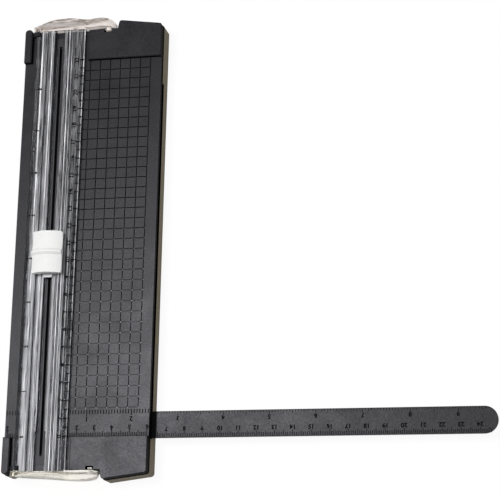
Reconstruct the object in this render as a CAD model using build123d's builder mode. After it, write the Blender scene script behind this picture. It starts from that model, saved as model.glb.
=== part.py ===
import os

from build123d import *

# A personal paper trimmer: a dark deck on a tray, a clear hinged guide with a sliding cutter,
# and a flat ruler that swings out from under the deck.
# X runs across the cut with zero on the cutting line, Y along the cut with zero at mid length,
# Z up from the desk.

os.makedirs("parts", exist_ok=True)

overrun = 1.0
tiny = 0.05
fit = 0.1
run_clear = 0.05

# Plan of the base
base_left = 21.4
base_right = 61.0
fence_span = 220.0
end_band = 18.5
nose_reach = 5.0
nose_fall = 3.5
step_x = 34.6
nose_x = 35.6
corner_round = 1.6
post_inner = 17.0
post_reach = 2.0
post_round = 2.0

fence_y = fence_span / 2
end_y = fence_y + end_band
nose_y = end_y + nose_reach
corner_y = nose_y - nose_fall
post_y = end_y + post_reach

# Heights of the base
foot_stand = 1.0
tray_floor = 1.8
rim_height = 11.2
deck_plate = 2.8
fence_rise = 2.6
post_rise = 3.4

floor_top = foot_stand + tray_floor
deck_under = foot_stand + rim_height
deck_top = deck_under + deck_plate

# Walls and edges of the base
rim_wall = 2.0
tray_proud = 0.35
skirt_inset = 2.2
skirt_wall = 1.8
rib_wall = 1.6
edge_soft = 0.4
post_soft = 0.6
fence_left = 17.5

# Fine grid pressed into the deck
grid_pitch = 6.0
grid_columns = 7
grid_rows = 34
grid_left = 18.5
grid_start = 14.0
groove_width = 0.5
groove_depth = 0.35
grid_low = fence_y - grid_rows * grid_pitch
grid_right = grid_left + (grid_columns - 1) * grid_pitch
column_xs = [grid_left + i * grid_pitch for i in range(grid_columns)]
row_ys = [grid_low + i * grid_pitch for i in range(grid_rows)]

# Cutting strip let into the deck
strip_width = 9.0
strip_past = 15.0
strip_thick = 2.0
slit_width = 1.3
slit_past = 10.0
slit_depth = 1.5
strip_length = fence_span + 2 * strip_past
slit_length = fence_span + 2 * slit_past

# Screws and feet
screw_left = -15.0
screw_right = 36.0
screw_past = 6.0
boss_radius = 3.2
core_radius = 1.3
screw_bite = 7.0
screw_pass = 1.6
head_radius = 2.8
head_height = 1.0
foot_width = 12.0
foot_short = 10.0
foot_sink = 0.5
left_foot_x = -4.0
right_foot_x = 46.0
foot_round = 3.0
screw_end = fence_y + screw_past
foot_length = fence_span - 2 * foot_short
screw_spots = [(x, y) for x in (screw_left, screw_right) for y in (-screw_end, screw_end)]

# Swing-out ruler
ruler_width = 14.6
ruler_thick = 2.0
ruler_spare = 15.1
ruler_drop = 3.4
ruler_past = 0.5
ruler_soft = 0.3
pivot_x = 52.0
chamber_gap = 0.6
bay_gap = 0.3
pivot_boss = 4.5
spigot_radius = 2.5
washer_radius = 4.6
washer_thick = 0.6
pivot_core = 1.3
pivot_bite = 4.0
pivot_head = 3.0
pivot_head_height = 1.6
access_radius = 4.0

ruler_half = ruler_width / 2
ruler_reach = pivot_x + fence_span - ruler_half - ruler_spare
ruler_top = deck_top - ruler_drop
ruler_under = ruler_top - ruler_thick
pivot_y = ruler_half - fence_y - ruler_past
chamber_left = pivot_x - ruler_half - chamber_gap
chamber_low = pivot_y - ruler_half - chamber_gap
chamber_high = pivot_y + ruler_reach - pivot_x + chamber_gap
bay_floor = ruler_under - bay_gap
bay_x = chamber_left + (base_right + overrun - chamber_left) / 2
bay_y = (chamber_low + chamber_high) / 2
bay_width = base_right + overrun - chamber_left
bay_length = chamber_high - chamber_low
washer_under = ruler_under - run_clear - washer_thick

# Clear guide, heights above the deck
rail_gap = 0.3
lip_rise = 1.3
groove_rise = 1.4
flange_rise = 2.5
plateau_rise = 2.7
rib_rise = 3.0
slot_half = 2.2
channel_half = 3.4
groove_in = 6.2
groove_out = 7.4
rib_out = 9.6
rail_right = 15.3
rail_left = 14.6
rail_soft = 0.35
load_length = 22.0
tongue_in = 7.8
tongue_out = 10.4
tongue_low = 0.8
tongue_high = 2.0
tongue_length = 1.5

# Hinge and latch of the guide
cap_gap = 0.5
hinge_x = -14.2
hinge_rise = 1.6
pin_radius = 1.2
pin_past = 3.0
ear_radius = 2.2
barrel_radius = 2.3
barrel_length = 2.4
barrel_right = 11.9
hinge_clear = 11.4
barrel_gap = 0.4
notch_left = 26.6
notch_right = 31.2
notch_deep = 2.2
prong_left = 28.0
prong_right = 30.4
prong_deep = 1.8
prong_low = -2.0
prong_high = 2.6

cap_inner = end_y + cap_gap
pin_length = barrel_length + pin_past
hinge_z = deck_top + hinge_rise

# End caps: crest of the arch as (X, height above the deck), outer edge as (X, distance past the end)
crest_points = [(-10.3, 6.2), (-4.4, 9.4), (3.0, 10.9), (9.4, 9.6), (13.9, 6.8),
                (18.2, 5.0), (23.4, 5.8), (27.4, 5.9), (30.8, 4.4), (32.9, 1.4)]
edge_points = [(-8.0, 3.6), (4.0, 4.3), (17.0, 5.3), (28.0, 5.3), (31.6, 4.4)]
crest_start = (-15.6, 3.2)
crest_finish = (33.4, -1.2)
edge_start = (-17.6, 3.0)
edge_finish = (34.3, 1.6)
cap_low = -3.0
cap_foot_left = -12.0
cap_foot_right = 31.7
shelf_rise = 3.0
shelf_left = -11.0
shelf_right = 15.6
shelf_deep = 2.0

# Carriage and cutter head, heights above the deck
carriage_y = -6.4
press_travel = 2.2
slide_gap = 0.2
foot_half = 3.0
foot_low = 0.45
neck_half = 1.9
leg_in = 6.45
leg_out = 7.15
plate_rise = 4.1
slider_length = 21.4
nose_half = 2.65
nose_length = 27.2
holder_half = 0.75
holder_gap = 1.0
holder_low = 3.0
cap_half = 8.7
cap_length = 24.0
cap_wall = 1.1
cap_rise = 5.3
shoulder_rise = 7.0
crest_rise = 10.2
inner_shoulder = 6.7
inner_crest = 8.8
cap_soft = 0.7
lip_length = 0.7
dish_depth = 0.6
ridge_rise = 11.4
ridge_foot = 1.7
ridge_top = 0.5
grip_wall = 1.0
grip_low = 7.2
blade_thick = 0.5
blade_inset = 1.8
blade_high = 7.0
blade_shoulder = 3.2
blade_tip = 1.2
blade_pin_radius = 0.6
blade_pin_rise = 5.5
spring_width = 4.0
spring_thick = 0.3
spring_gap = 0.7
spring_run = 3.2
spring_rise = 6.1

plateau_z = deck_top + plateau_rise
plate_low = plateau_z + slide_gap
plate_top = deck_top + plate_rise
spring_out = cap_length / 2 - cap_wall - spring_gap
spring_in = spring_out - spring_run
holder_length = 2 * (spring_in - holder_gap)
blade_length = holder_length - 2 * blade_inset
crown_fall = crest_rise - shoulder_rise
crown_radius = (cap_half**2 + crown_fall**2) / (2 * crown_fall)
crest_z = deck_top + crest_rise
ridge_z = deck_top + ridge_rise
crown_z = crest_z - crown_radius


def plan_points(inset):
    # Corners of the base without the posts, drawn in from the edge by the inset
    half = [(base_right - inset, corner_y - inset), (nose_x + inset, nose_y - inset),
            (step_x + inset, end_y - inset), (inset - base_left, end_y - inset)]
    return half + [(x, -y) for x, y in reversed(half)]


def rail_points(side, reach):
    # Section of one clear strip from the slot lip out to its free edge
    section = [(slot_half, lip_rise), (slot_half, plateau_rise), (groove_in, plateau_rise),
               (groove_in, groove_rise), (groove_out, groove_rise), (groove_out, rib_rise),
               (rib_out, rib_rise), (rib_out, flange_rise), (reach, flange_rise),
               (reach, rail_gap), (channel_half, rail_gap), (channel_half, lip_rise)]
    return [(side * x, deck_top + z) for x, z in section]


def soft_corner(vertex):
    # Upper corners of a clear strip that are rounded over
    on_crown = vertex.Y > deck_top + flange_rise + tiny
    on_edge = vertex.Y > deck_top + groove_rise + tiny and abs(vertex.X) > rib_out + tiny
    return on_crown or on_edge


with BuildSketch() as base_plan:
    with BuildLine():
        Polyline(*plan_points(0), close=True)
    make_face()
    with Locations((-(base_left + post_inner) / 2, 0)):
        Rectangle(base_left - post_inner, 2 * post_y)
    fillet(base_plan.vertices().filter_by(lambda v: v.X < 0 and abs(v.Y) > end_y + tiny), post_round)
    fillet(base_plan.vertices().filter_by(lambda v: v.X > nose_x - tiny), corner_round)

with BuildPart() as deck:
    with BuildSketch(Plane.XY.offset(deck_under)):
        add(base_plan.sketch)
    extrude(amount=deck_plate)
    # Skirt that nests inside the rim of the tray
    with BuildSketch(Plane.XY.offset(floor_top)):
        with BuildLine():
            Polyline(*plan_points(skirt_inset), close=True)
        make_face()
        with BuildLine():
            Polyline(*plan_points(skirt_inset + skirt_wall), close=True)
        make_face(mode=Mode.SUBTRACT)
    extrude(amount=deck_under - floor_top)
    # Side opening through which the ruler swings
    with BuildSketch(Plane.XY.offset(bay_floor)):
        with Locations((bay_x, bay_y)):
            Rectangle(bay_width, bay_length)
    extrude(amount=deck_under - bay_floor, mode=Mode.SUBTRACT)
    # Ribs around the ruler's bay
    bay_right = base_right - skirt_inset - skirt_wall
    with BuildSketch(Plane.XY.offset(floor_top)):
        with Locations((chamber_left - rib_wall / 2, bay_y)):
            Rectangle(rib_wall, bay_length + 2 * rib_wall)
        with Locations(((chamber_left + bay_right) / 2, chamber_low - rib_wall / 2),
                       ((chamber_left + bay_right) / 2, chamber_high + rib_wall / 2)):
            Rectangle(bay_right - chamber_left + rib_wall, rib_wall)
    extrude(amount=deck_under - floor_top)
    # Screw bosses and the boss that carries the ruler
    with BuildSketch(Plane.XY.offset(floor_top)):
        with Locations(*screw_spots):
            Circle(boss_radius)
    extrude(amount=deck_under - floor_top)
    with BuildSketch(Plane.XY.offset(floor_top)):
        with Locations(*screw_spots):
            Circle(core_radius)
    extrude(amount=screw_bite, mode=Mode.SUBTRACT)
    with BuildSketch(Plane.XY.offset(ruler_top + run_clear)):
        with Locations((pivot_x, pivot_y)):
            Circle(pivot_boss)
    extrude(amount=deck_under - ruler_top - run_clear)
    with BuildSketch(Plane.XY.offset(ruler_under - run_clear)):
        with Locations((pivot_x, pivot_y)):
            Circle(spigot_radius)
    extrude(amount=ruler_thick + 2 * run_clear)
    with BuildSketch(Plane.XY.offset(ruler_under - run_clear)):
        with Locations((pivot_x, pivot_y)):
            Circle(pivot_core)
    extrude(amount=pivot_bite, mode=Mode.SUBTRACT)
    # Fences with slanted noses at both ends
    with BuildSketch(Plane.XY.offset(deck_top)) as fences:
        with BuildLine():
            Polyline((fence_left, fence_y), (base_right, fence_y), (base_right, corner_y),
                     (nose_x, nose_y), (step_x, end_y), (fence_left, end_y), close=True)
        make_face()
        fillet(fences.vertices().filter_by(lambda v: v.X > nose_x - tiny and v.Y > end_y), corner_round)
        mirror(about=Plane.XZ)
    extrude(amount=fence_rise)
    fence_rims = deck.faces().filter_by(Axis.Z).group_by(Axis.Z)[-1].edges()
    chamfer(fence_rims, edge_soft)
    # Hinge posts
    with BuildSketch(Plane.XY.offset(deck_top)) as posts:
        with Locations((-(base_left + post_inner) / 2, (fence_y + post_y) / 2)):
            Rectangle(base_left - post_inner, post_y - fence_y)
        fillet(posts.vertices().group_by(Axis.Y)[-1], post_round)
        mirror(about=Plane.XZ)
    extrude(amount=post_rise)
    post_rims = deck.faces().filter_by(Axis.Z).group_by(Axis.Z)[-1].edges()
    chamfer(post_rims, post_soft)
    # Hinge barrels against the posts
    with BuildSketch(Plane.XZ.offset(-end_y)) as barrel:
        with Locations((hinge_x, hinge_z)):
            Circle(barrel_radius)
        with Locations((-(post_inner + barrel_right) / 2, deck_top + hinge_rise / 2)):
            Rectangle(post_inner - barrel_right, hinge_rise)
    extrude(amount=barrel_length)
    with BuildSketch(Plane.XZ.offset(end_y)):
        add(barrel.sketch_local)
    extrude(amount=-barrel_length)
    with BuildSketch(Plane.XZ.offset(-end_y - overrun)):
        with Locations((hinge_x, hinge_z)):
            Circle(pin_radius)
    extrude(amount=barrel_length + overrun, mode=Mode.SUBTRACT)
    with BuildSketch(Plane.XZ.offset(end_y + overrun)):
        with Locations((hinge_x, hinge_z)):
            Circle(pin_radius)
    extrude(amount=-barrel_length - overrun, mode=Mode.SUBTRACT)
    # Latch notches
    with BuildSketch(Plane.XY.offset(deck_under)):
        with Locations(((notch_left + notch_right) / 2, end_y), ((notch_left + notch_right) / 2, -end_y)):
            Rectangle(notch_right - notch_left, 2 * notch_deep)
    extrude(amount=deck_plate + fence_rise + overrun, mode=Mode.SUBTRACT)
    # Channel for the cutting strip
    with BuildSketch(Plane.XY.offset(deck_top)):
        Rectangle(strip_width + 2 * fit, strip_length + 2 * fit)
    extrude(amount=-strip_thick, mode=Mode.SUBTRACT)
    # Grid
    with BuildSketch(Plane.XY.offset(deck_top)):
        with Locations(*[(x, (grid_low + fence_y) / 2) for x in column_xs]):
            Rectangle(groove_width, fence_y - grid_low)
        with Locations(*[((grid_start + grid_right) / 2, y) for y in row_ys]):
            Rectangle(grid_right - grid_start, groove_width)
    extrude(amount=-groove_depth, mode=Mode.SUBTRACT)
deck.part.label = "deck"
export_step(deck.part, "parts/deck.step")

with BuildPart() as tray:
    with BuildSketch(Plane.XY.offset(foot_stand)):
        add(base_plan.sketch)
        offset(amount=tray_proud)
    extrude(amount=rim_height)
    with BuildSketch(Plane.XY.offset(floor_top)):
        with BuildLine():
            Polyline(*plan_points(rim_wall), close=True)
        make_face()
    extrude(amount=rim_height, mode=Mode.SUBTRACT)
    # Slot in the right wall through which the ruler swings
    with BuildSketch(Plane.XY.offset(bay_floor)):
        with Locations((bay_x, bay_y)):
            Rectangle(bay_width, bay_length)
    extrude(amount=rim_height, mode=Mode.SUBTRACT)
    # Holes for the screws and for reaching the ruler's screw, beds for the feet
    with BuildSketch(Plane.XY.offset(foot_stand)):
        with Locations(*screw_spots):
            Circle(screw_pass)
        with Locations((pivot_x, pivot_y)):
            Circle(access_radius)
    extrude(amount=tray_floor, mode=Mode.SUBTRACT)
    with BuildSketch(Plane.XY.offset(foot_stand)):
        with Locations(*screw_spots):
            Circle(head_radius + fit)
    extrude(amount=head_height, mode=Mode.SUBTRACT)
    with BuildSketch(Plane.XY.offset(foot_stand)) as foot_beds:
        with Locations((left_foot_x, 0), (right_foot_x, 0)):
            RectangleRounded(foot_width + 2 * fit, foot_length + 2 * fit, foot_round)
    extrude(amount=foot_sink, mode=Mode.SUBTRACT)
    chamfer(tray.faces().sort_by(Axis.Z)[0].outer_wire().edges(), edge_soft)
tray.part.label = "tray"
export_step(tray.part, "parts/tray.step")

with BuildPart() as left_foot_strip:
    with BuildSketch():
        with Locations((left_foot_x, 0)):
            RectangleRounded(foot_width, foot_length, foot_round)
    extrude(amount=foot_stand + foot_sink)
left_foot_strip.part.label = "left_foot_strip"
export_step(left_foot_strip.part, "parts/left_foot_strip.step")

with BuildPart() as right_foot_strip:
    with BuildSketch():
        with Locations((right_foot_x, 0)):
            RectangleRounded(foot_width, foot_length, foot_round)
    extrude(amount=foot_stand + foot_sink)
right_foot_strip.part.label = "right_foot_strip"
export_step(right_foot_strip.part, "parts/right_foot_strip.step")

with BuildPart() as tray_screws:
    with BuildSketch(Plane.XY.offset(foot_stand)):
        with Locations(*screw_spots):
            Circle(head_radius)
    extrude(amount=head_height)
    with BuildSketch(Plane.XY.offset(foot_stand + head_height)):
        with Locations(*screw_spots):
            Circle(core_radius)
    extrude(amount=floor_top + screw_bite - foot_stand - head_height)
tray_screws.part.label = "tray_screws"
export_step(tray_screws.part, "parts/tray_screws.step")

with BuildPart() as cutting_strip:
    with BuildSketch(Plane.XY.offset(deck_top - strip_thick)):
        Rectangle(strip_width, strip_length)
    extrude(amount=strip_thick)
    with BuildSketch(Plane.XY.offset(deck_top)):
        SlotOverall(slit_length, slit_width, rotation=90)
    extrude(amount=-slit_depth, mode=Mode.SUBTRACT)
cutting_strip.part.label = "cutting_strip"
export_step(cutting_strip.part, "parts/cutting_strip.step")

with BuildPart() as pivot_washer:
    with BuildSketch(Plane.XY.offset(washer_under)):
        with Locations((pivot_x, pivot_y)):
            Circle(washer_radius)
            Circle(pivot_core, mode=Mode.SUBTRACT)
    extrude(amount=washer_thick)
pivot_washer.part.label = "pivot_washer"
export_step(pivot_washer.part, "parts/pivot_washer.step")

with BuildPart() as pivot_screw:
    with BuildSketch(Plane.XY.offset(washer_under - pivot_head_height)):
        with Locations((pivot_x, pivot_y)):
            Circle(pivot_head)
    extrude(amount=pivot_head_height)
    chamfer(pivot_screw.edges().group_by(Axis.Z)[0], edge_soft)
    with BuildSketch(Plane.XY.offset(washer_under)):
        with Locations((pivot_x, pivot_y)):
            Circle(pivot_core)
    extrude(amount=washer_thick + pivot_bite)
pivot_screw.part.label = "pivot_screw"
export_step(pivot_screw.part, "parts/pivot_screw.step")

with BuildPart() as rear_hinge_pin:
    with BuildSketch(Plane.XZ.offset(barrel_length - end_y)):
        with Locations((hinge_x, hinge_z)):
            Circle(pin_radius)
    extrude(amount=-pin_length)
rear_hinge_pin.part.label = "rear_hinge_pin"
export_step(rear_hinge_pin.part, "parts/rear_hinge_pin.step")

with BuildPart() as front_hinge_pin:
    with BuildSketch(Plane.XZ.offset(end_y - barrel_length)):
        with Locations((hinge_x, hinge_z)):
            Circle(pin_radius)
    extrude(amount=pin_length)
front_hinge_pin.part.label = "front_hinge_pin"
export_step(front_hinge_pin.part, "parts/front_hinge_pin.step")

with BuildPart() as ruler_arm:
    with BuildSketch(Plane.XY.offset(ruler_under)):
        with Locations(((pivot_x - ruler_half + ruler_reach) / 2, pivot_y)):
            SlotOverall(ruler_reach - pivot_x + ruler_half, ruler_width)
        with Locations((pivot_x, pivot_y)):
            Circle(spigot_radius + run_clear, mode=Mode.SUBTRACT)
    extrude(amount=ruler_thick)
    chamfer(ruler_arm.faces().sort_by(Axis.Z)[-1].outer_wire().edges(), ruler_soft)
ruler_arm.part.label = "ruler_arm"
export_step(ruler_arm.part, "parts/ruler_arm.step")

with BuildPart() as right_rail_strip:
    with BuildSketch(Plane.XZ.offset(-cap_inner)) as right_section:
        with BuildLine():
            Polyline(*rail_points(1, rail_right), close=True)
        make_face()
        fillet(right_section.vertices().filter_by(soft_corner), rail_soft)
    extrude(amount=2 * cap_inner)
    # Wider mouth of the slot at the front, where the slider is loaded
    with BuildSketch(Plane.XY.offset(deck_top)):
        with Locations((0, load_length / 2 - cap_inner)):
            Rectangle(2 * foot_half + 2 * slide_gap, load_length)
    extrude(amount=rib_rise + overrun, mode=Mode.SUBTRACT)
    # Tongues into the end caps
    with BuildSketch(Plane.XZ.offset(-cap_inner - tongue_length)):
        with Locations(((tongue_in + tongue_out) / 2, deck_top + (tongue_low + tongue_high) / 2)):
            Rectangle(tongue_out - tongue_in, tongue_high - tongue_low)
    extrude(amount=2 * (cap_inner + tongue_length))
right_rail_strip.part.label = "right_rail_strip"
export_step(right_rail_strip.part, "parts/right_rail_strip.step")

with BuildPart() as left_rail_strip:
    with BuildSketch(Plane.XZ.offset(-cap_inner)) as left_section:
        with BuildLine():
            Polyline(*rail_points(-1, rail_left), close=True)
        make_face()
        fillet(left_section.vertices().filter_by(soft_corner), rail_soft)
    extrude(amount=2 * cap_inner)
    with BuildSketch(Plane.XY.offset(deck_top)):
        with Locations((0, load_length / 2 - cap_inner)):
            Rectangle(2 * foot_half + 2 * slide_gap, load_length)
    extrude(amount=rib_rise + overrun, mode=Mode.SUBTRACT)
    # Corners cut away around the hinge barrels
    with BuildSketch(Plane.XY.offset(deck_top)):
        with Locations((-(rail_left + hinge_clear) / 2, cap_inner),
                       (-(rail_left + hinge_clear) / 2, -cap_inner)):
            Rectangle(rail_left - hinge_clear + tiny, 2 * (cap_gap + barrel_length + barrel_gap))
    extrude(amount=rib_rise + overrun, mode=Mode.SUBTRACT)
    with BuildSketch(Plane.XZ.offset(-cap_inner - tongue_length)):
        with Locations((-(tongue_in + tongue_out) / 2, deck_top + (tongue_low + tongue_high) / 2)):
            Rectangle(tongue_out - tongue_in, tongue_high - tongue_low)
    extrude(amount=2 * (cap_inner + tongue_length))
left_rail_strip.part.label = "left_rail_strip"
export_step(left_rail_strip.part, "parts/left_rail_strip.step")

crest_line = [(x, deck_top + z) for x, z in [crest_start] + crest_points + [crest_finish]]
edge_line = [(x, end_y + y) for x, y in [edge_start] + edge_points + [edge_finish]]

with BuildPart() as rear_end_cap:
    # Arched wall seen from the end
    with BuildSketch(Plane.XZ.offset(-cap_inner)):
        with BuildLine():
            Spline(*crest_line)
            Polyline(crest_line[-1], (cap_foot_right, deck_top + cap_low),
                     (cap_foot_left, deck_top + cap_low), (hinge_x, hinge_z - ear_radius), crest_line[0])
        make_face()
        with Locations((hinge_x, hinge_z)):
            Circle(ear_radius)
    extrude(amount=-nose_reach - overrun)
    # Bowed outer face seen from above
    with BuildSketch(Plane.XY.offset(deck_top + cap_low - overrun)):
        with BuildLine():
            Spline(*edge_line)
            Polyline(edge_line[-1], (edge_line[-1][0], cap_inner - overrun),
                     (edge_line[0][0], cap_inner - overrun), edge_line[0])
        make_face()
    extrude(amount=2 * crest_rise, mode=Mode.INTERSECT)
    # Shelf level with the rails in front of the arch
    with BuildSketch(Plane.XY.offset(deck_top + shelf_rise)):
        with Locations(((shelf_left + shelf_right) / 2, cap_inner)):
            Rectangle(shelf_right - shelf_left, 2 * shelf_deep)
    extrude(amount=2 * crest_rise, mode=Mode.SUBTRACT)
    # Sockets for the tongues of the rails
    with BuildSketch(Plane.XZ.offset(-cap_inner)):
        with Locations(((tongue_in + tongue_out) / 2, deck_top + (tongue_low + tongue_high) / 2),
                       (-(tongue_in + tongue_out) / 2, deck_top + (tongue_low + tongue_high) / 2)):
            Rectangle(tongue_out - tongue_in + 2 * fit, tongue_high - tongue_low + 2 * fit)
    extrude(amount=-tongue_length - fit, mode=Mode.SUBTRACT)
    # Latch prong and hinge bore
    with BuildSketch(Plane.XZ.offset(-cap_inner)):
        with Locations(((prong_left + prong_right) / 2, deck_top + (prong_low + prong_high) / 2)):
            Rectangle(prong_right - prong_left, prong_high - prong_low)
    extrude(amount=prong_deep)
    with BuildSketch(Plane.XZ.offset(-cap_inner)):
        with Locations((hinge_x, hinge_z)):
            Circle(pin_radius + run_clear)
    extrude(amount=-nose_reach - overrun, mode=Mode.SUBTRACT)
rear_end_cap.part.label = "rear_end_cap"
export_step(rear_end_cap.part, "parts/rear_end_cap.step")

with BuildPart() as front_end_cap:
    add(rear_end_cap.part)
    mirror(about=Plane.XZ, mode=Mode.REPLACE)
front_end_cap.part.label = "front_end_cap"
export_step(front_end_cap.part, "parts/front_end_cap.step")

with BuildPart() as slider:
    # Foot under the lips, neck through the slot, top plate with legs in the grooves
    with BuildSketch(Plane.XZ.offset(-carriage_y - slider_length / 2)):
        with Locations((0, deck_top + (foot_low + lip_rise - slide_gap) / 2)):
            Rectangle(2 * foot_half, lip_rise - slide_gap - foot_low)
        with Locations((0, (deck_top + foot_low + plate_top) / 2)):
            Rectangle(2 * neck_half, plate_top - deck_top - foot_low)
        with Locations((0, (plate_low + plate_top) / 2)):
            Rectangle(2 * leg_out, plate_top - plate_low)
        with Locations(((leg_in + leg_out) / 2, (deck_top + groove_rise + slide_gap + plate_low) / 2),
                       (-(leg_in + leg_out) / 2, (deck_top + groove_rise + slide_gap + plate_low) / 2)):
            Rectangle(leg_out - leg_in, plate_low - deck_top - groove_rise - slide_gap)
    extrude(amount=slider_length)
    # Noses that show past the thumb cap
    with BuildSketch(Plane.XY.offset(plate_low)) as noses:
        with Locations((0, carriage_y)):
            Rectangle(2 * nose_half, nose_length)
        fillet(noses.vertices(), post_soft)
    extrude(amount=plate_top - plate_low)
    # Guide pocket for the blade holder
    with BuildSketch(Plane.XY.offset(deck_top)):
        with Locations((0, carriage_y)):
            Rectangle(2 * (holder_half + fit), holder_length + 2 * fit)
    extrude(amount=2 * plate_rise, mode=Mode.SUBTRACT)
slider.part.label = "slider"
export_step(slider.part, "parts/slider.step")

with BuildPart() as return_springs:
    with BuildSketch(Plane.YZ.offset(-spring_width / 2)):
        with BuildLine():
            Polyline((carriage_y + spring_in, plate_top), (carriage_y + spring_out, plate_top),
                     (carriage_y + spring_out, plate_top + spring_thick),
                     (carriage_y + spring_in + 2 * spring_thick, plate_top + spring_thick),
                     (carriage_y + spring_out, deck_top + spring_rise - spring_thick),
                     (carriage_y + spring_out, deck_top + spring_rise),
                     (carriage_y + spring_in, plate_top + spring_thick), close=True)
        make_face()
    extrude(amount=spring_width)
    mirror(about=Plane.XZ.offset(-carriage_y))
return_springs.part.label = "return_springs"
export_step(return_springs.part, "parts/return_springs.step")

with BuildPart() as thumb_cap:
    # Crown turned about an axis along the cut: two scooped pads with a ridge between them
    with BuildSketch(Plane.YZ):
        with BuildLine():
            for side in (-1, 1):
                cap_end = carriage_y + side * cap_length / 2
                pad_end = cap_end - side * lip_length
                ridge_start = carriage_y + side * ridge_foot
                Polyline((carriage_y, crown_z), (cap_end, crown_z), (cap_end, crest_z), (pad_end, crest_z))
                ThreePointArc((pad_end, crest_z), ((pad_end + ridge_start) / 2, crest_z - dish_depth),
                              (ridge_start, crest_z))
                Polyline((ridge_start, crest_z), (carriage_y + side * ridge_top, ridge_z),
                         (carriage_y, ridge_z))
        make_face()
    revolve(axis=Axis((0, 0, crown_z), (0, 1, 0)))
    with BuildSketch(Plane.XY.offset(deck_top + cap_rise)):
        with Locations((0, carriage_y)):
            RectangleRounded(2 * cap_half, cap_length, cap_soft)
    extrude(amount=crown_radius, mode=Mode.INTERSECT)
    # Hollow underside
    with BuildSketch(Plane.XZ.offset(-carriage_y - cap_length / 2 + cap_wall)):
        with BuildLine():
            ThreePointArc((cap_wall - cap_half, deck_top + inner_shoulder), (0, deck_top + inner_crest),
                          (cap_half - cap_wall, deck_top + inner_shoulder))
            Polyline((cap_half - cap_wall, deck_top + inner_shoulder), (cap_half - cap_wall, deck_top),
                     (cap_wall - cap_half, deck_top), (cap_wall - cap_half, deck_top + inner_shoulder))
        make_face()
    extrude(amount=cap_length - 2 * cap_wall, mode=Mode.SUBTRACT)
    # Grip walls for the blade holder
    with BuildSketch(Plane.XY.offset(deck_top + grip_low)):
        with Locations((holder_half + grip_wall / 2, carriage_y),
                       (-holder_half - grip_wall / 2, carriage_y)):
            Rectangle(grip_wall, holder_length)
    extrude(amount=inner_crest - grip_low)
    # Mouths for the noses of the slider
    with BuildSketch(Plane.XY.offset(deck_top)):
        with Locations((0, carriage_y)):
            Rectangle(2 * (nose_half + 2 * slide_gap), cap_length + 2 * overrun)
    extrude(amount=plate_rise + press_travel + slide_gap, mode=Mode.SUBTRACT)
thumb_cap.part.label = "thumb_cap"
export_step(thumb_cap.part, "parts/thumb_cap.step")

with BuildPart() as blade_holder:
    with BuildSketch(Plane.XY.offset(deck_top + holder_low)):
        with Locations((0, carriage_y)):
            Rectangle(2 * holder_half, holder_length)
    extrude(amount=inner_crest - holder_low - tiny)
    with BuildSketch(Plane.XY.offset(deck_top)):
        with Locations((0, carriage_y)):
            Rectangle(blade_thick, blade_length)
    extrude(amount=blade_high, mode=Mode.SUBTRACT)
    with BuildSketch(Plane.YZ.offset(-holder_half)):
        with Locations((carriage_y, deck_top + blade_pin_rise)):
            Circle(blade_pin_radius)
    extrude(amount=2 * holder_half, mode=Mode.SUBTRACT)
blade_holder.part.label = "blade_holder"
export_step(blade_holder.part, "parts/blade_holder.step")

with BuildPart() as blade:
    with BuildSketch(Plane.YZ.offset(-blade_thick / 2)):
        with BuildLine():
            Polyline((carriage_y - blade_length / 2, deck_top + blade_high),
                     (carriage_y + blade_length / 2, deck_top + blade_high),
                     (carriage_y + blade_length / 2, deck_top + blade_shoulder),
                     (carriage_y, deck_top + blade_tip),
                     (carriage_y - blade_length / 2, deck_top + blade_shoulder), close=True)
        make_face()
        with Locations((carriage_y, deck_top + blade_pin_rise)):
            Circle(blade_pin_radius, mode=Mode.SUBTRACT)
    extrude(amount=blade_thick)
blade.part.label = "blade"
export_step(blade.part, "parts/blade.step")

with BuildPart() as blade_pin:
    with BuildSketch(Plane.YZ.offset(-holder_half)):
        with Locations((carriage_y, deck_top + blade_pin_rise)):
            Circle(blade_pin_radius)
    extrude(amount=2 * holder_half)
blade_pin.part.label = "blade_pin"
export_step(blade_pin.part, "parts/blade_pin.step")
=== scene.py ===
import math

import bmesh
import bpy
from mathutils import Matrix, Vector


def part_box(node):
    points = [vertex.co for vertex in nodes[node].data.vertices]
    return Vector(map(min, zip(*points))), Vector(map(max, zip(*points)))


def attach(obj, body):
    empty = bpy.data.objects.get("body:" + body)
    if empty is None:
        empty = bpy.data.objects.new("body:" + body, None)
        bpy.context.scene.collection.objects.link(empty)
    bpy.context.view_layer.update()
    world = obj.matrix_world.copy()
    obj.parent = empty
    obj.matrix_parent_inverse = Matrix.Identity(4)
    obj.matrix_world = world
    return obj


# A personal paper trimmer: a material for every node, inlaid scales and grid, floor, light and camera.
# X runs across the cut, Y along it and Z up from the desk.

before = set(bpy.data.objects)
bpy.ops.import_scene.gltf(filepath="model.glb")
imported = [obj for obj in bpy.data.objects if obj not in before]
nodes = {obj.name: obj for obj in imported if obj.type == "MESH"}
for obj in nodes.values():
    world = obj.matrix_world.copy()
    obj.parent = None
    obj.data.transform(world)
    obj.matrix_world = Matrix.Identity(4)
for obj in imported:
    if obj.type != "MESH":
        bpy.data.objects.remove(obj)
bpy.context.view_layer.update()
scene = bpy.context.scene

# Sizes in millimetres; MM turns them into metres
MM = 0.001
DECK_TOP = 15.0
GUIDE_TOP = DECK_TOP + 2.5
GUIDE_RIGHT = 15.3
CUT_LENGTH = 220.0
ZERO_Y = -CUT_LENGTH / 2
CENTIMETRE = 10.0
INCH = 25.4
SIXTEENTH = INCH / 16
MARK_LIFT = 0.02

BLACK, WHITE = (0.0, 0.0, 0.0), (1.0, 1.0, 1.0)


# Small helpers for building materials from nodes

def new_material(name):
    material = bpy.data.materials.new(name)
    material.use_nodes = True
    tree = material.node_tree
    return material, tree, tree.nodes["Principled BSDF"]


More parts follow.
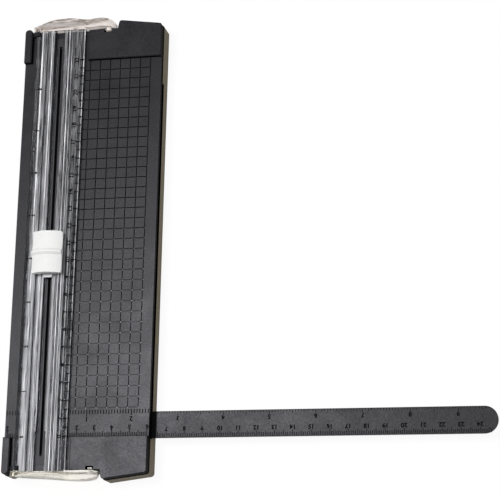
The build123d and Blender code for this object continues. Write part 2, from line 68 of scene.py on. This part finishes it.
def object_coords(tree, stretch):
    coords = tree.nodes.new("ShaderNodeTexCoord")
    mapping = tree.nodes.new("ShaderNodeMapping")
    mapping.inputs["Scale"].default_value = stretch
    tree.links.new(coords.outputs["Object"], mapping.inputs["Vector"])
    return mapping.outputs["Vector"]


def split(tree, vector):
    # The X, Y and Z of a vector
    axes = tree.nodes.new("ShaderNodeSeparateXYZ")
    tree.links.new(vector, axes.inputs["Vector"])
    return axes.outputs


def position(tree):
    # Where a point lies on the part, in metres
    return split(tree, object_coords(tree, (1.0, 1.0, 1.0)))


def facing(tree):
    # Which way a face looks, as seen on the part
    return split(tree, tree.nodes.new("ShaderNodeTexCoord").outputs["Normal"])


def noise(tree, stretch, detail=3.0, roughness=0.55):
    node = tree.nodes.new("ShaderNodeTexNoise")
    node.inputs["Scale"].default_value = 1.0
    node.inputs["Detail"].default_value = detail
    node.inputs["Roughness"].default_value = roughness
    tree.links.new(object_coords(tree, stretch), node.inputs["Vector"])
    return node.outputs["Fac"]


def ramp(tree, value, stops):
    node = tree.nodes.new("ShaderNodeValToRGB")
    elements = node.color_ramp.elements
    while len(elements) < len(stops):
        elements.new(1.0)
    for element, (place, colour) in zip(elements, stops):
        element.position = place
        element.color = (*colour, 1.0)
    tree.links.new(value, node.inputs["Fac"])
    return node.outputs["Color"]


def spread(tree, value, low, high, source_low=0.0, source_high=1.0, smooth=False):
    # Value from source_low to source_high, turned into low to high and held there beyond
    node = tree.nodes.new("ShaderNodeMapRange")
    node.interpolation_type = "SMOOTHSTEP" if smooth else "LINEAR"
    node.inputs["From Min"].default_value = source_low
    node.inputs["From Max"].default_value = source_high
    node.inputs["To Min"].default_value = low
    node.inputs["To Max"].default_value = high
    tree.links.new(value, node.inputs["Value"])
    return node.outputs["Result"]


def combine(tree, operation, first, second, clamp=True):
    node = tree.nodes.new("ShaderNodeMath")
    node.operation = operation
    node.use_clamp = clamp
    for socket, value in zip(node.inputs, (first, second)):
        if isinstance(value, (int, float)):
            socket.default_value = value
        else:
            tree.links.new(value, socket)
    return node.outputs["Value"]


def blend(tree, share, first, second):
    # Colour that goes from first to second as the share goes from 0 to 1
    node = tree.nodes.new("ShaderNodeMix")
    node.data_type = "RGBA"
    tree.links.new(share, node.inputs[0])
    for socket, value in zip(node.inputs[6:8], (first, second)):
        if isinstance(value, tuple):
            socket.default_value = (*value, 1.0)
        else:
            tree.links.new(value, socket)
    return node.outputs[2]


def bump(tree, shader, height, strength, depth):
    node = tree.nodes.new("ShaderNodeBump")
    node.inputs["Strength"].default_value = strength
    node.inputs["Distance"].default_value = depth * MM
    tree.links.new(height, node.inputs["Height"])
    tree.links.new(node.outputs["Normal"], shader.inputs["Normal"])


def mixed_surface(tree, share, first, second):
    # Surface that goes from the first shader to the second as the share goes from 0 to 1
    mix = tree.nodes.new("ShaderNodeMixShader")
    tree.links.new(share, mix.inputs["Fac"])
    tree.links.new(first, mix.inputs[1])
    tree.links.new(second, mix.inputs[2])
    tree.links.new(mix.outputs["Shader"], tree.nodes["Material Output"].inputs["Surface"])


def per_mm(x, y, z):
    # How many pattern cells lie in each millimetre, as a stretch in metres
    return (x / MM, y / MM, z / MM)


def even(cells):
    return per_mm(cells, cells, cells)


# Where a surface lies and which way it looks, as a share from 0 to 1

LEVEL_FROM, LEVEL_TO = 0.2, 0.8


def upward(tree):
    # 1 on faces that look up, 0 on upright faces and undersides
    return spread(tree, facing(tree)["Z"], 0.0, 1.0, LEVEL_FROM, LEVEL_TO)


def sideways(tree):
    # 0 on faces that look up, such as the floor of the ruler's slot, 1 on the outer walls; the tray uses it
    # to paint deep shade on its faces that look up
    return combine(tree, "SUBTRACT", 1.0, upward(tree))


def level(tree):
    # 1 on level faces, whether they look up or down, 0 on upright ones
    flatness = combine(tree, "ABSOLUTE", facing(tree)["Z"], 0.0)
    return spread(tree, flatness, 0.0, 1.0, LEVEL_FROM, LEVEL_TO)


def along(tree, axis, low, high):
    # How far a point lies from low to high along an axis, in millimetres
    return spread(tree, position(tree)[axis], 0.0, 1.0, low * MM, high * MM)


def lines_across(tree, lines):
    # Soft lines along the cut, each given as (X of its middle, half width, strength), the strongest winning
    across = position(tree)["X"]
    total = 0.0
    for middle, half_width, strength in lines:
        side = combine(tree, "SUBTRACT", across, middle * MM, clamp=False)
        gap = combine(tree, "ABSOLUTE", side, 0.0, clamp=False)
        line = spread(tree, gap, strength, 0.0, 0.0, half_width * MM, smooth=True)
        total = combine(tree, "MAXIMUM", line, total)
    return total


# Kinds of material

NOISE_LOW, NOISE_HIGH = 0.3, 0.7
MOTTLE = even(0.06)
POLISH_SWING = 0.05
SPECKLE_LOW, SPECKLE_HIGH = 0.35, 0.65
COOL_SHEEN = (0.95, 0.94, 1.0)
# Painted shade: the near-black colour and the extra roughness that lit masks paint in
DEEP_SHADE, DULL_IN_SHADE = (0.003, 0.003, 0.003), 0.5
GRAIN_BUMP = 0.35


def two_tone(tree, value, dark, light):
    return ramp(tree, value, [(NOISE_LOW, dark), (NOISE_HIGH, light)])


def moulded(name, dark, light, rough, grain=2.2, depth=0.05, shine=0.5, lit=None, speckle=0.0):
    # Opaque plastic with a fine spark-eroded grain and faint mottling. grain is in cells to the
    # millimetre, depth in millimetres, and speckle is how far the grain breaks up the gloss.
    # lit takes the tree and gives 0 where deep shade is painted into the colour and gloss, 1 elsewhere.
    material, tree, shader = new_material(name)
    fine = noise(tree, even(grain), detail=2.0)
    broad = noise(tree, MOTTLE)
    # Half of the tone comes from the grain, half from the mottling
    tone = combine(tree, "ADD", spread(tree, fine, 0.0, 0.5), spread(tree, broad, 0.0, 0.5))
    colour = two_tone(tree, tone, dark, light)
    polish = spread(tree, broad, rough - POLISH_SWING, rough + POLISH_SWING, NOISE_LOW, NOISE_HIGH)
    gleam = spread(tree, fine, 1.0 - speckle, 1.0, SPECKLE_LOW, SPECKLE_HIGH) if speckle else 1.0
    if lit:
        share = lit(tree)
        colour = blend(tree, share, DEEP_SHADE, colour)
        polish = combine(tree, "ADD", polish, spread(tree, share, DULL_IN_SHADE, 0.0))
        gleam = combine(tree, "MULTIPLY", gleam, share)
    tree.links.new(colour, shader.inputs["Base Color"])
    tree.links.new(polish, shader.inputs["Roughness"])
    if lit or speckle:
        tree.links.new(blend(tree, gleam, BLACK, COOL_SHEEN), shader.inputs["Specular Tint"])
    else:
        shader.inputs["Specular Tint"].default_value = (*COOL_SHEEN, 1.0)
    shader.inputs["Specular IOR Level"].default_value = shine
    bump(tree, shader, fine, GRAIN_BUMP, depth)
    return material


def turned_steel(name, dark, light, smoothest, roughest):
    # Bright metal with fine lines along the cut
    material, tree, shader = new_material(name)
    lines = noise(tree, per_mm(1.5, 0.1, 1.5))
    polish = spread(tree, lines, smoothest, roughest, NOISE_LOW, NOISE_HIGH)
    tree.links.new(two_tone(tree, lines, dark, light), shader.inputs["Base Color"])
    tree.links.new(polish, shader.inputs["Roughness"])
    shader.inputs["Metallic"].default_value = 1.0
    bump(tree, shader, lines, strength=0.2, depth=0.02)
    return material


BRIGHT_LOW, BRIGHT_HIGH = 0.52, 0.68
MILKY_FROM, ROUGH_FROM = 0.1, 0.12
CLEAR_POLISH, MILKY_POLISH = 0.02, 0.30
FAINT_MIRROR = (0.03, 0.03, 0.03)


def clear(name, haze, tint, milk, shade, stretch, swing, bend):
    # See-through moulding with a milky haze on its outside, broken by flow streaks; on the guide strips the
    # haze also paints highlights.
    # haze and tint take the tree and give the share of haze and the colour of the clear plastic;
    # shade is the colour of its shadow, swing how far the streaks change the haze and bend how
    # strongly the plastic bends light.
    material, tree, shader = new_material(name)
    flow = noise(tree, stretch, roughness=0.65)
    fine_flow = noise(tree, [2.0 * cells for cells in stretch], detail=1.0)
    bright = spread(tree, fine_flow, 0.0, 1.0, BRIGHT_LOW, BRIGHT_HIGH)
    broad_flow = spread(tree, flow, *swing, NOISE_LOW, NOISE_HIGH)
    streaks = combine(tree, "ADD", broad_flow, bright, clamp=False)
    inside = tree.nodes.new("ShaderNodeNewGeometry").outputs["Backfacing"]
    outside = combine(tree, "SUBTRACT", 1.0, inside)
    amount = combine(tree, "MULTIPLY", haze(tree), outside)
    amount = combine(tree, "MULTIPLY", amount, streaks)
    colour = blend(tree, spread(tree, amount, 0.0, 1.0, 0.0, MILKY_FROM), tint(tree), milk)
    polish = spread(tree, amount, CLEAR_POLISH, MILKY_POLISH, 0.0, ROUGH_FROM)
    tree.links.new(colour, shader.inputs["Base Color"])
    tree.links.new(combine(tree, "SUBTRACT", 1.0, amount), shader.inputs["Transmission Weight"])
    tree.links.new(polish, shader.inputs["Roughness"])
    shader.inputs["IOR"].default_value = bend
    shader.inputs["Specular Tint"].default_value = (*FAINT_MIRROR, 1.0)
    bump(tree, shader, flow, strength=0.10, depth=0.05)
    open_way = tree.nodes.new("ShaderNodeBsdfTransparent")
    open_way.inputs["Color"].default_value = (*shade, 1.0)
    in_shadow = tree.nodes.new("ShaderNodeLightPath").outputs["Is Shadow Ray"]
    mixed_surface(tree, in_shadow, shader.outputs["BSDF"], open_way.outputs["BSDF"])
    return material


# Charcoal plastic of the deck, of the ruler and of the grooves in the deck

CHARCOAL_DARK, CHARCOAL_LIGHT = (0.013, 0.013, 0.015), (0.022, 0.022, 0.025)
LUG_LEFT, LUG_RIGHT, LUG_FOOT = (-16.9, -16.6), (0.0, -1.0), (DECK_TOP + 0.1, DECK_TOP + 0.3)
# Painted shadow on the ruler's root ends here, in millimetres along X
SLOT_SHADE_END = (63.9, 64.7)
# Painted light on the grooves across the deck fades to black over GROOVE_FADE
GROOVE_FADE, GROOVE_REAR = (-30.0, 20.0), 0.1


def deck_lit(tree):
    # Painted shade: the deck's upright faces and undersides are painted near black; faces that look up, and
    # the rounded lugs beside the posts that carry the guide's hinge pins, stay unshaded
    lug = combine(tree, "MULTIPLY", along(tree, "X", *LUG_LEFT), along(tree, "X", *LUG_RIGHT))
    lug = combine(tree, "MULTIPLY", lug, along(tree, "Z", *LUG_FOOT))
    return combine(tree, "MAXIMUM", upward(tree), lug)


def ruler_lit(tree):
    # Painted shadow: the arm's root is painted black where it lies in the shade of the slot it comes out of
    return along(tree, "X", *SLOT_SHADE_END)


def front_lit(tree):
    # Painted light: the grooves across the deck are painted lighter towards the front, where they catch
    # light, and black at the rear
    return spread(tree, along(tree, "Y", *GROOVE_FADE), 1.0, GROOVE_REAR)


charcoal = moulded("charcoal_plastic", CHARCOAL_DARK, CHARCOAL_LIGHT, rough=0.34, grain=1.0,
                   shine=0.155, lit=deck_lit, speckle=0.35)
ruler_charcoal = moulded("ruler_plastic", CHARCOAL_DARK, CHARCOAL_LIGHT, rough=0.41, grain=1.0,
                         shine=0.21, lit=ruler_lit, speckle=0.35)
# Painted light: the grooves across the deck are lighter towards the front
groove = moulded("groove_floor", (0.010, 0.010, 0.012), (0.018, 0.018, 0.021), rough=0.50,
                 shine=0.22, lit=front_lit)
# Painted glints where the grooves cross
glint = moulded("groove_glint", (0.10, 0.10, 0.10), (0.70, 0.70, 0.72), rough=0.45,
                grain=0.15, lit=front_lit)


# The other opaque pieces

# Painted shade: the tray's faces that look up, under the deck's edge and in the ruler's slot, are painted
# near black
tray_grey = moulded("tray_plastic", (0.097, 0.079, 0.047), (0.127, 0.104, 0.063), rough=0.60,
                    shine=0.12, lit=sideways)
strip_dark = moulded("strip_plastic", (0.012, 0.012, 0.014), (0.020, 0.020, 0.023), rough=0.50,
                     grain=1.2, shine=0.30)
rubber = moulded("foot_rubber", (0.012, 0.012, 0.012), (0.026, 0.026, 0.026), rough=0.80,
                 grain=1.5, depth=0.08, shine=0.20)
white = moulded("white_plastic", (0.68, 0.68, 0.67), (0.72, 0.72, 0.71), rough=0.55,
                grain=1.2, depth=0.02, shine=0.12)
pale_grey = moulded("grey_plastic", (0.46, 0.46, 0.47), (0.58, 0.58, 0.59), rough=0.42, grain=1.2)
ink = moulded("scale_ink", (0.002, 0.002, 0.003), (0.006, 0.006, 0.007), rough=0.80, shine=0.0)
steel = turned_steel("steel", (0.52, 0.52, 0.54), (0.68, 0.68, 0.70), smoothest=0.20, roughest=0.40)


# Clear plastic of the guide strips

STRIP_TINT, STRIP_EDGE, STRIP_SHADE = (0.48, 0.485, 0.50), (0.14, 0.14, 0.15), (0.45, 0.46, 0.48)
# Painted highlights: the milky colour also paints the bright lines along the ribs
STRIP_MILK_AND_SHEEN = (0.90, 0.90, 0.93)
BASE_HAZE = 0.025
HAZE_AND_SHEEN_FADE = (-50.0, 70.0)
STREAKS = per_mm(1.5, 0.035, 0.2)
STREAK_SWING = (0.2, 1.3)
STRIP_BEND = 1.25

# Milky haze and painted highlights along the ribs: (X of the middle, half width, strength)
LEFT_FRONT = [(-10.6, 2.6, 0.47), (-8.8, 1.6, 0.42), (-7.0, 1.8, 0.32), (-5.2, 2.0, 0.45),
              (-3.2, 1.0, 0.50)]
LEFT_REAR = [(-10.4, 0.8, 0.85), (-7.6, 5.5, 0.22), (-13.0, 2.4, 0.09), (-4.7, 0.7, 0.75),
             (-3.6, 0.5, 0.34)]
RIGHT_FRONT = [(3.4, 1.7, 0.40), (4.9, 1.0, 0.16), (6.0, 0.7, 0.90), (7.6, 1.0, 0.60),
               (8.9, 0.9, 0.34), (11.0, 0.5, 0.40), (12.4, 0.4, 0.18), (15.0, 0.5, 0.38)]
RIGHT_REAR = [(4.0, 1.8, 0.20), (6.0, 0.6, 0.80), (7.5, 0.6, 0.60), (11.0, 6.0, 0.13),
              (15.0, 0.5, 0.55)]


def strip_tint(tree):
    # Smoky through the level faces, darker through the cut edges
    return blend(tree, level(tree), STRIP_EDGE, STRIP_TINT)


def clear_strip(name, front_lines, rear_lines):
    # The milky haze and painted highlights change from the front lines to the rear ones along the cut
    def haze(tree):
        front, rear = lines_across(tree, front_lines), lines_across(tree, rear_lines)
        lines = blend(tree, along(tree, "Y", *HAZE_AND_SHEEN_FADE), front, rear)
        return combine(tree, "MULTIPLY", combine(tree, "MAXIMUM", lines, BASE_HAZE), upward(tree))
    return clear(name, haze, strip_tint, STRIP_MILK_AND_SHEEN, STRIP_SHADE, STREAKS, STREAK_SWING, STRIP_BEND)


clear_left = clear_strip("clear_left_plastic", LEFT_FRONT, LEFT_REAR)
clear_right = clear_strip("clear_right_plastic", RIGHT_FRONT, RIGHT_REAR)


# Clear plastic of the end caps

FRONT_MILK, REAR_MILK, END_SHADE = (0.80, 0.77, 0.70), (0.74, 0.67, 0.62), (0.75, 0.72, 0.66)
PAST_GUIDE = (GUIDE_RIGHT, GUIDE_RIGHT + 0.6)
STEEP_HAZE = 0.25
CROSS_STREAKS = per_mm(0.05, 1.2, 0.5)
CROSS_SWING = (0.0, 1.6)
END_BEND = 1.10


def clear_end(name, milk, left_haze, right_haze, left_tint, right_tint):
    # Haze and tint change where the cap passes the guide's right edge; steep faces are milkier
    def haze(tree):
        flat = spread(tree, along(tree, "X", *PAST_GUIDE), left_haze, right_haze)
        return combine(tree, "ADD", flat, spread(tree, upward(tree), STEEP_HAZE, 0.0))

    def tint(tree):
        return blend(tree, along(tree, "X", *PAST_GUIDE), left_tint, right_tint)

    return clear(name, haze, tint, milk, END_SHADE, CROSS_STREAKS, CROSS_SWING, END_BEND)


clear_front = clear_end("clear_front_plastic", FRONT_MILK, left_haze=0.12, right_haze=0.38,
                        left_tint=(0.74, 0.70, 0.62), right_tint=(0.98, 0.96, 0.93))
clear_rear = clear_end("clear_rear_plastic", REAR_MILK, left_haze=0.34, right_haze=0.34,
                       left_tint=(0.60, 0.55, 0.54), right_tint=(0.66, 0.61, 0.60))


# Every part of the frame gets its finish

FINISH = {
    "deck": charcoal, "tray": tray_grey, "cutting_strip": strip_dark,
    "left_foot_strip": rubber, "right_foot_strip": rubber,
    "tray_screws": steel, "front_hinge_pin": steel, "rear_hinge_pin": steel,
    "pivot_screw": steel, "pivot_washer": steel,
    "left_rail_strip": clear_left, "right_rail_strip": clear_right,
    "front_end_cap": clear_front, "rear_end_cap": clear_rear,
    "slider": pale_grey, "return_springs": steel,
    "thumb_cap": white, "blade_holder": pale_grey, "blade": steel, "blade_pin": steel,
    "ruler_arm": ruler_charcoal,
}
for name, finish in FINISH.items():
    nodes[name].data.materials.clear()
    nodes[name].data.materials.append(finish)


# Marks: flat inlays a hair proud of the surface that carries them

CAP_HEIGHT_SHARE = 0.69
NUMERAL_HEAVY = 0.13
UPSIDE_DOWN = 180
ALONG_Y = 90


class Marks:
    def __init__(self, name, body, height, material=ink, slot="strip_plastic"):
        self.name, self.body, self.material, self.slot = name, body, material, slot
        self.height = height + MARK_LIFT
        self.mesh = bmesh.new()

    def bar(self, x0, y0, x1, y1):
        corners = [(x0, y0), (x1, y0), (x1, y1), (x0, y1)]
        self.mesh.faces.new([self.mesh.verts.new((x * MM, y * MM, self.height * MM)) for x, y in corners])

    def upright(self, x, y0, y1, width):
        self.bar(x - width / 2, min(y0, y1), x + width / 2, max(y0, y1))

    def level(self, y, x0, x1, width):
        self.bar(min(x0, x1), y - width / 2, max(x0, x1), y + width / 2)

    def numeral(self, text, x, y, tall, turn, heavy=NUMERAL_HEAVY):
        curve = bpy.data.curves.new("numeral", "FONT")
        curve.body = text
        curve.size = tall * MM / CAP_HEIGHT_SHARE
        curve.align_x = "CENTER"
        curve.align_y = "CENTER"
        curve.resolution_u = 3
        curve.offset = heavy * MM
        holder = bpy.data.objects.new("numeral", curve)
        scene.collection.objects.link(holder)
        bpy.context.view_layer.update()
        flat = bpy.data.meshes.new_from_object(holder.evaluated_get(bpy.context.evaluated_depsgraph_get()))
        place = Matrix.Translation((x * MM, y * MM, self.height * MM))
        flat.transform(place @ Matrix.Rotation(math.radians(turn), 4, "Z"))
        self.mesh.from_mesh(flat)
        bpy.data.objects.remove(holder)
        bpy.data.curves.remove(curve)
        bpy.data.meshes.remove(flat)

    def finish(self):
        data = bpy.data.meshes.new(self.name)
        self.mesh.to_mesh(data)
        self.mesh.free()
        data.materials.append(self.material)
        piece = bpy.data.objects.new(self.name, data)
        scene.collection.objects.link(piece)
        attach(piece, self.body)


def counts(low, high, pitch):
    # Which whole multiples of the pitch lie from low to high
    return range(math.ceil(low / pitch), math.floor(high / pitch) + 1)


def tick_length(count, lengths):
    # lengths holds (every so many, length), the longest step first
    return next(length for step, length in lengths if count % step == 0)


# Scales on the deck: centimetres at the front fence and inches facing them, open at the cutting strip

DECK_SCALE_LEFT, DECK_SCALE_RIGHT, DECK_SCALE_GAP = -20.7, 60.4, 4.7
DECK_CM_TICKS, DECK_CM_LINE = [(10, 4.0), (5, 3.3), (1, 2.3)], 0.50
DECK_INCH_TICKS, DECK_INCH_LINE = [(16, 3.2), (8, 2.8), (1, 2.3)], 0.55
DECK_INCH_Y = ZERO_Y + 14.9
DECK_NUMERAL, DECK_CM_NUMERAL_Y, DECK_INCH_NUMERAL_Y = 2.4, ZERO_Y + 5.2, ZERO_Y + 9.8
FENCE_LINE, FENCE_LINE_Y, FENCE_LINE_LEFT = 0.35, ZERO_Y + 0.1, -20.0


def deck_scales():
    marks = Marks("deck_scales", "base", DECK_TOP)
    for i in counts(DECK_SCALE_LEFT, DECK_SCALE_RIGHT, 1.0):
        if abs(i) > DECK_SCALE_GAP:
            marks.upright(i, ZERO_Y, ZERO_Y + tick_length(i, DECK_CM_TICKS), DECK_CM_LINE)
    marks.level(FENCE_LINE_Y, DECK_SCALE_GAP, DECK_SCALE_RIGHT, FENCE_LINE)
    marks.level(FENCE_LINE_Y, FENCE_LINE_LEFT, -DECK_SCALE_GAP, FENCE_LINE)
    for i in counts(DECK_SCALE_LEFT, DECK_SCALE_RIGHT, SIXTEENTH):
        x = i * SIXTEENTH
        if abs(x) > DECK_SCALE_GAP:
            marks.upright(x, DECK_INCH_Y, DECK_INCH_Y - tick_length(i, DECK_INCH_TICKS), DECK_INCH_LINE)
    for n in counts(DECK_SCALE_LEFT, DECK_SCALE_RIGHT, CENTIMETRE):
        if n != 0:
            marks.numeral(str(abs(n)), n * CENTIMETRE, DECK_CM_NUMERAL_Y, DECK_NUMERAL, UPSIDE_DOWN)
    for n in counts(DECK_SCALE_GAP, DECK_SCALE_RIGHT, INCH):
        marks.numeral(str(n), n * INCH, DECK_INCH_NUMERAL_Y, DECK_NUMERAL, UPSIDE_DOWN)
    marks.finish()


# Grid pressed into the deck

GRID_PITCH, GRID_COLUMNS, GRID_ROWS = 6.0, 7, 34
GRID_START, GRID_LEFT, GRID_HIGH = 14.0, 18.5, ZERO_Y + CUT_LENGTH
GRID_RIGHT = GRID_LEFT + (GRID_COLUMNS - 1) * GRID_PITCH
GRID_LOW = GRID_HIGH - GRID_ROWS * GRID_PITCH
GRID_DEPTH, GRID_LINE = 0.35, 0.49
GLINT_HALF = 0.17


def grid_columns():
    # Painted shade: the floors of the grooves along the cut are painted black
    marks = Marks("grid_columns", "base", DECK_TOP - GRID_DEPTH)
    for i in range(GRID_COLUMNS):
        marks.upright(GRID_LEFT + i * GRID_PITCH, GRID_LOW, GRID_HIGH, GRID_LINE)
    marks.finish()


def grid_rows():
    # Painted light: the grooves across the deck are painted lighter where they catch some light
    marks = Marks("grid_rows", "base", DECK_TOP - GRID_DEPTH + MARK_LIFT, groove)
    for i in range(GRID_ROWS):
        marks.level(GRID_LOW + i * GRID_PITCH, GRID_START, GRID_RIGHT + GRID_LINE / 2, GRID_LINE)
    marks.finish()


def grid_glints():
    # Painted glints: pale spots where the grooves cross, fading to black towards the rear
    marks = Marks("grid_glints", "base", DECK_TOP - GRID_DEPTH + 2 * MARK_LIFT, glint, "charcoal_plastic")
    for i in range(GRID_COLUMNS):
        for j in range(GRID_ROWS):
            x, y = GRID_LEFT + i * GRID_PITCH, GRID_LOW + j * GRID_PITCH
            marks.bar(x - GLINT_HALF, y - GLINT_HALF, x + GLINT_HALF, y + GLINT_HALF)
    marks.finish()


# Scales on the ruler: centimetres along its front edge, inches along its rear one

RULER_SCALE_LEFT, RULER_SCALE_RIGHT, RULER_MARGIN = 61.9, 246.0, 0.4
RULER_CM_TICKS, RULER_CM_LINE = [(10, 3.0), (5, 2.6), (1, 1.9)], 0.36
RULER_INCH_TICKS, RULER_INCH_LINE = [(16, 2.2), (8, 1.7), (1, 1.0)], 0.30
RULER_NUMERAL, RULER_CM_NUMERAL_IN, RULER_INCH_NUMERAL_IN = 2.3, 5.0, 3.9


def ruler_scales():
    low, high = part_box("ruler_arm")
    front, rear = low.y / MM, high.y / MM
    marks = Marks("ruler_scales", "ruler", high.z / MM)
    for i in counts(RULER_SCALE_LEFT, RULER_SCALE_RIGHT, 1.0):
        start = front + RULER_MARGIN
        marks.upright(i, start, start + tick_length(i, RULER_CM_TICKS), RULER_CM_LINE)
    for i in counts(RULER_SCALE_LEFT, RULER_SCALE_RIGHT, SIXTEENTH):
        start = rear - RULER_MARGIN
        marks.upright(i * SIXTEENTH, start, start - tick_length(i, RULER_INCH_TICKS), RULER_INCH_LINE)
    for n in counts(RULER_SCALE_LEFT, RULER_SCALE_RIGHT, CENTIMETRE):
        marks.numeral(str(n), n * CENTIMETRE, front + RULER_CM_NUMERAL_IN, RULER_NUMERAL, UPSIDE_DOWN)
    for n in counts(RULER_SCALE_LEFT, RULER_SCALE_RIGHT, INCH):
        marks.numeral(str(n), n * INCH, rear - RULER_INCH_NUMERAL_IN, RULER_NUMERAL, UPSIDE_DOWN)
    marks.finish()


# Worn line that the blade runs along, with painted shade in its slit

SLIT_WIDTH, SLIT_DEPTH, SLIT_PAST = 1.3, 1.5, 10.0
SLIT_LENGTH = CUT_LENGTH + 2 * SLIT_PAST
WORN_HALF, WORN_FRONT_IN, WORN_REAR_IN = 0.8, 4.6, 5.0


def cut_line():
    # A dark worn border on each side of the slit and past its ends, and painted shade as a black sheet on
    # the slit's floor
    low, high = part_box("cutting_strip")
    front, rear = low.y / MM + WORN_FRONT_IN, high.y / MM - WORN_REAR_IN
    marks = Marks("cut_line", "base", high.z / MM)
    for side in (-1, 1):
        marks.upright(side * (SLIT_WIDTH / 2 + WORN_HALF) / 2, front, rear, WORN_HALF - SLIT_WIDTH / 2)
    marks.upright(0.0, front, -SLIT_LENGTH / 2, SLIT_WIDTH)
    marks.upright(0.0, SLIT_LENGTH / 2, rear, SLIT_WIDTH)
    # Painted shade: the slit's floor carries a black sheet
    marks.height -= SLIT_DEPTH
    slit_end = (SLIT_LENGTH - SLIT_WIDTH) / 2
    marks.upright(0.0, -slit_end, slit_end, SLIT_WIDTH)
    marks.finish()


# Scales on the clear guide: centimetres on the right strip, inches on the left one

GUIDE_CM_TICKS, GUIDE_CM_LINE, GUIDE_CM_X = [(2, 2.6), (1, 2.0)], 0.75, 15.1
GUIDE_INCH_TICKS, GUIDE_INCH_LINE, GUIDE_INCH_X = [(2, 3.2), (1, 2.4)], 0.34, -14.2
GUIDE_CM_NUMERAL, GUIDE_CM_NUMERAL_X = 2.5, 10.95
GUIDE_INCH_NUMERAL, GUIDE_INCH_NUMERAL_X = 1.7, -10.6
GUIDE_HEAVY, GUIDE_THIN, GUIDE_THIN_FROM = 0.18, 0.12, 15


def guide_scales():
    marks = Marks("guide_scales", "rail", GUIDE_TOP)
    for i in counts(0.0, CUT_LENGTH, CENTIMETRE / 2):
        start = GUIDE_CM_X - tick_length(i, GUIDE_CM_TICKS)
        marks.level(ZERO_Y + i * CENTIMETRE / 2, start, GUIDE_CM_X, GUIDE_CM_LINE)
    for n in counts(0.0, CUT_LENGTH, CENTIMETRE):
        heavy = GUIDE_HEAVY if n < GUIDE_THIN_FROM else GUIDE_THIN
        y = ZERO_Y + n * CENTIMETRE
        marks.numeral(str(n), GUIDE_CM_NUMERAL_X, y, GUIDE_CM_NUMERAL, ALONG_Y, heavy)
    for i in counts(0.0, CUT_LENGTH, INCH / 2):
        end = GUIDE_INCH_X + tick_length(i, GUIDE_INCH_TICKS)
        marks.level(ZERO_Y + i * INCH / 2, GUIDE_INCH_X, end, GUIDE_INCH_LINE)
    for n in counts(0.0, CUT_LENGTH, INCH):
        marks.numeral(str(n), GUIDE_INCH_NUMERAL_X, ZERO_Y + n * INCH, GUIDE_INCH_NUMERAL, ALONG_Y)
    marks.finish()


deck_scales()
grid_columns()
grid_rows()
grid_glints()
ruler_scales()
cut_line()
guide_scales()


# Stage: pale floor, studio light and the camera

FLOOR_HALF = 20.0
FLOOR_PAINT, FLOOR_GLOW = (0.90, 0.90, 0.90), 0.93
OVERHEAD = (0.22, 0.22, 0.23)
HORIZON_TO, OVERHEAD_FROM = 0.12, 0.30
LAMP_AIM = (0.02, -0.02, 0.015)


def pale_floor():
    # Nearly white to the eye, in reflections and through clear plastic, and still taking the shadow
    mesh = bpy.data.meshes.new("floor")
    grid = bmesh.new()
    bmesh.ops.create_grid(grid, x_segments=1, y_segments=1, size=FLOOR_HALF)
    grid.to_mesh(mesh)
    grid.free()
    floor = bpy.data.objects.new("floor", mesh)
    scene.collection.objects.link(floor)
    material, tree, shader = new_material("floor_paint")
    shader.inputs["Base Color"].default_value = (*FLOOR_PAINT, 1.0)
    shader.inputs["Roughness"].default_value = 0.9
    shader.inputs["Specular IOR Level"].default_value = 0.1
    path = tree.nodes.new("ShaderNodeLightPath")
    seen = combine(tree, "ADD", path.outputs["Is Camera Ray"], path.outputs["Is Glossy Ray"])
    seen = combine(tree, "ADD", seen, path.outputs["Is Transmission Ray"])
    glow = tree.nodes.new("ShaderNodeEmission")
    glow.inputs["Color"].default_value = (*WHITE, 1.0)
    share = combine(tree, "MULTIPLY", seen, FLOOR_GLOW)
    mixed_surface(tree, share, shader.outputs["BSDF"], glow.outputs["Emission"])
    mesh.materials.append(material)


def studio_world():
    # Dim overhead, white towards the horizon
    world = bpy.data.worlds.new("studio")
    scene.world = world
    world.use_nodes = True
    tree = world.node_tree
    background = tree.nodes["Background"]
    up = split(tree, tree.nodes.new("ShaderNodeTexCoord").outputs["Generated"])["Z"]
    stops = [(0.0, WHITE), (HORIZON_TO, WHITE), (OVERHEAD_FROM, OVERHEAD), (1.0, OVERHEAD)]
    tree.links.new(ramp(tree, up, stops), background.inputs["Color"])
    background.inputs["Strength"].default_value = 1.0


def softbox(name, place, side, power):
    # Square lamp, its place and side in metres
    light = bpy.data.lights.new(name, "AREA")
    light.shape = "SQUARE"
    light.size = side
    light.energy = power
    lamp = bpy.data.objects.new(name, light)
    scene.collection.objects.link(lamp)
    lamp.location = place
    lamp.rotation_euler = (Vector(LAMP_AIM) - Vector(place)).to_track_quat("-Z", "Y").to_euler()


def photo_camera():
    # Place, aim and roll fitted to the scales on the deck and the ruler
    place = Vector((313.2, -258.6, 925.0)) * MM
    aim = Vector((115.3, -7.4, DECK_TOP)) * MM
    roll = -38.71
    data = bpy.data.cameras.new("camera")
    data.sensor_width = 36.0
    data.lens = 125.8
    camera = bpy.data.objects.new("camera", data)
    scene.collection.objects.link(camera)
    turn = (aim - place).to_track_quat("-Z", "Y").to_matrix().to_4x4()
    camera.matrix_world = Matrix.Translation(place) @ turn @ Matrix.Rotation(math.radians(roll), 4, "Z")
    scene.camera = camera


pale_floor()
studio_world()
softbox("key", place=(-0.22, 0.08, 1.15), side=0.35, power=12.6)
softbox("fill", place=(0.90, -0.10, 0.90), side=0.50, power=3.0)
photo_camera()
scene.view_settings.view_transform = "Standard"
